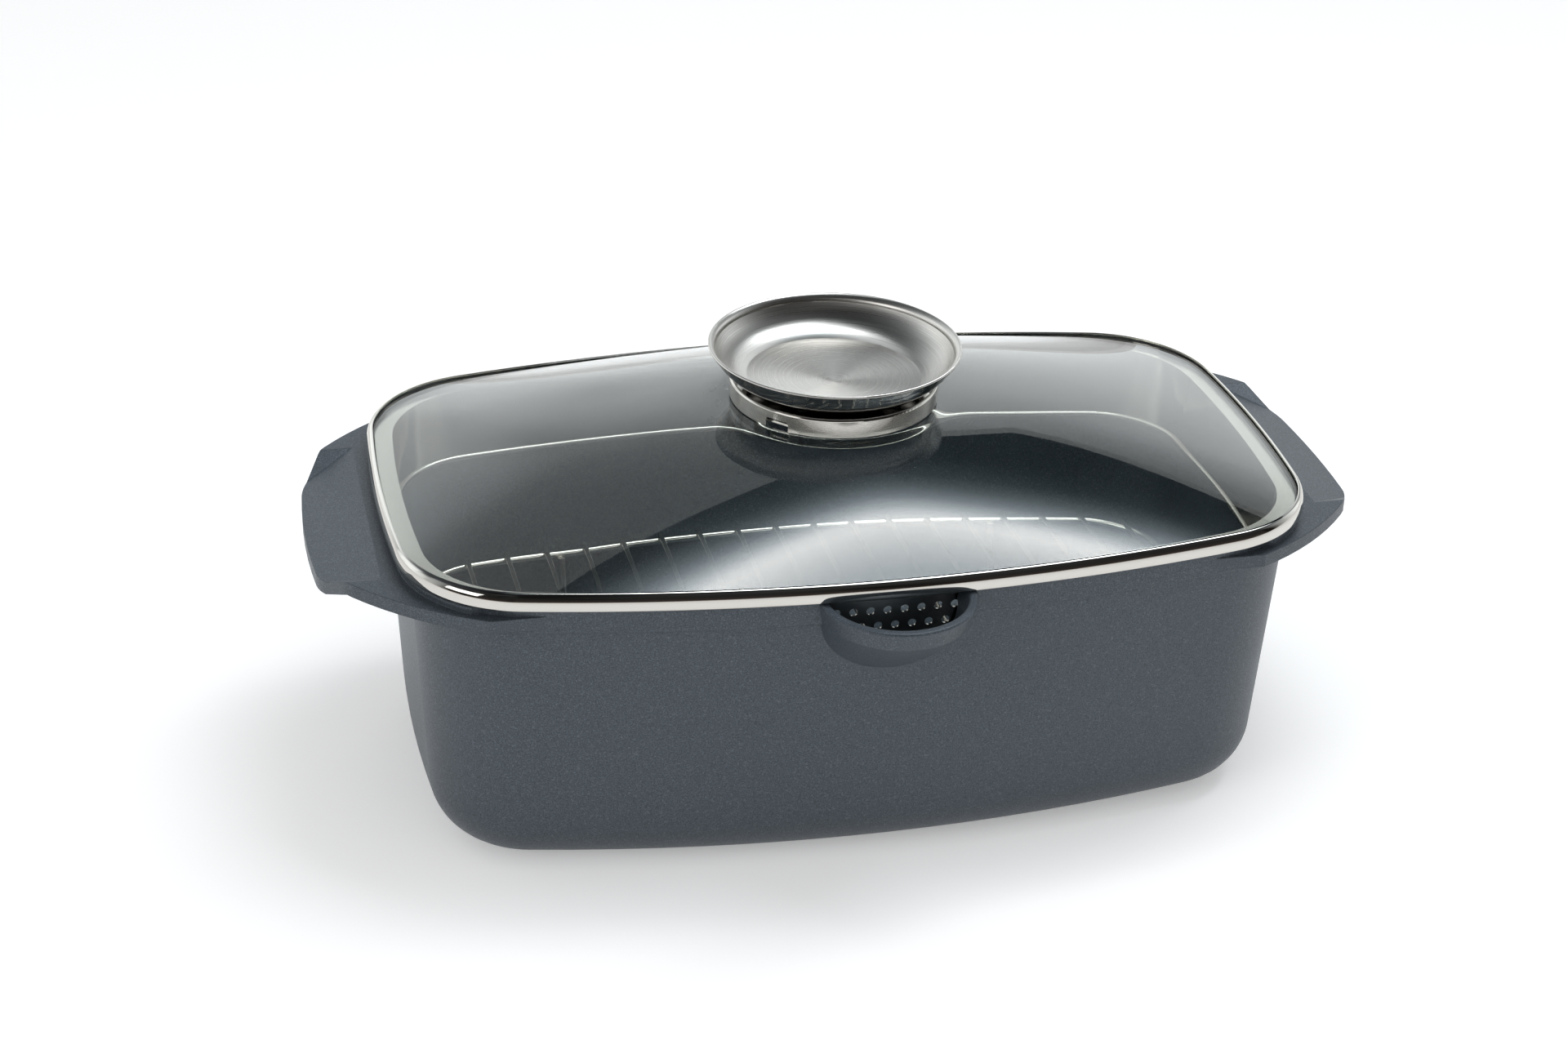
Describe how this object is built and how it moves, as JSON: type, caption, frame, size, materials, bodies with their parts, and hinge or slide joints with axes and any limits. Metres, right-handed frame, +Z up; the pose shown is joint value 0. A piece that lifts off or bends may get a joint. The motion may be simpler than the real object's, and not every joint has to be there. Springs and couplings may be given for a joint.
{
  "type": "roasting pan with rack",
  "caption": "Rectangular cast roasting pan with wing handles and pouring lips, a steel-rimmed glass lid with a drip-dish knob, and a wire rack inside.",
  "frame": {"origin": "middle of the pan's base, on the surface it stands on", "axes": "+X along the long side towards a handle, -Y towards the front pouring lip, +Z up"},
  "size_m": [0.437, 0.2822, 0.1842],
  "materials": {
    "coated_cast": "dark grey non-stick coating with a fine metallic fleck, satin",
    "polished_steel": "polished stainless steel",
    "satin_steel": "brushed stainless steel",
    "spun_steel": "lathe-brushed stainless steel",
    "clear_glass": "clear tempered glass",
    "silicone": "matt silicone",
    "rack_wire": "bright steel wire"
  },
  "bodies": {
    "pan": {"pan_body": "coated_cast"},
    "lid": {"lid_band": "polished_steel", "strainer_ring": "satin_steel", "lid_glass": "clear_glass", "edge_seal": "silicone", "knob_seal": "silicone", "knob_hub": "satin_steel", "drip_dish": "spun_steel", "drip_stud": "satin_steel", "lower_seal": "silicone", "knob_washer": "satin_steel", "knob_nut": "satin_steel"},
    "vent": {"vent_ring": "polished_steel"},
    "rack": {"rack_frame": "rack_wire", "leg_wire_1": "rack_wire", "leg_wire_2": "rack_wire", "cross_wire_01": "rack_wire", "cross_wire_02": "rack_wire", "cross_wire_03": "rack_wire", "cross_wire_04": "rack_wire", "cross_wire_05": "rack_wire", "cross_wire_06": "rack_wire", "cross_wire_07": "rack_wire", "cross_wire_08": "rack_wire", "cross_wire_09": "rack_wire", "cross_wire_10": "rack_wire", "cross_wire_11": "rack_wire", "cross_wire_12": "rack_wire", "cross_wire_13": "rack_wire", "cross_wire_14": "rack_wire", "cross_wire_15": "rack_wire", "cross_wire_16": "rack_wire", "cross_wire_17": "rack_wire", "cross_wire_18": "rack_wire", "cross_wire_19": "rack_wire"}
  },
  "joints": [
    {"name": "lid_lift", "type": "slide", "parent": "pan", "child": "lid", "axis": [0, 0, 1], "range_m": [0, 0.26]},
    {"name": "rack_lift", "type": "slide", "parent": "pan", "child": "rack", "axis": [0, 0, 1], "range_m": [0, 0.13]},
    {"name": "vent_turn", "type": "hinge", "parent": "lid", "child": "vent", "pos_m": [0, 0, 0.163], "axis": [0, 0, 1], "range_deg": [0, 45]}
  ],
  "couplings": [
    {"joint": "rack_lift", "follows": "lid_lift", "ratio": 0.5}
  ]
}
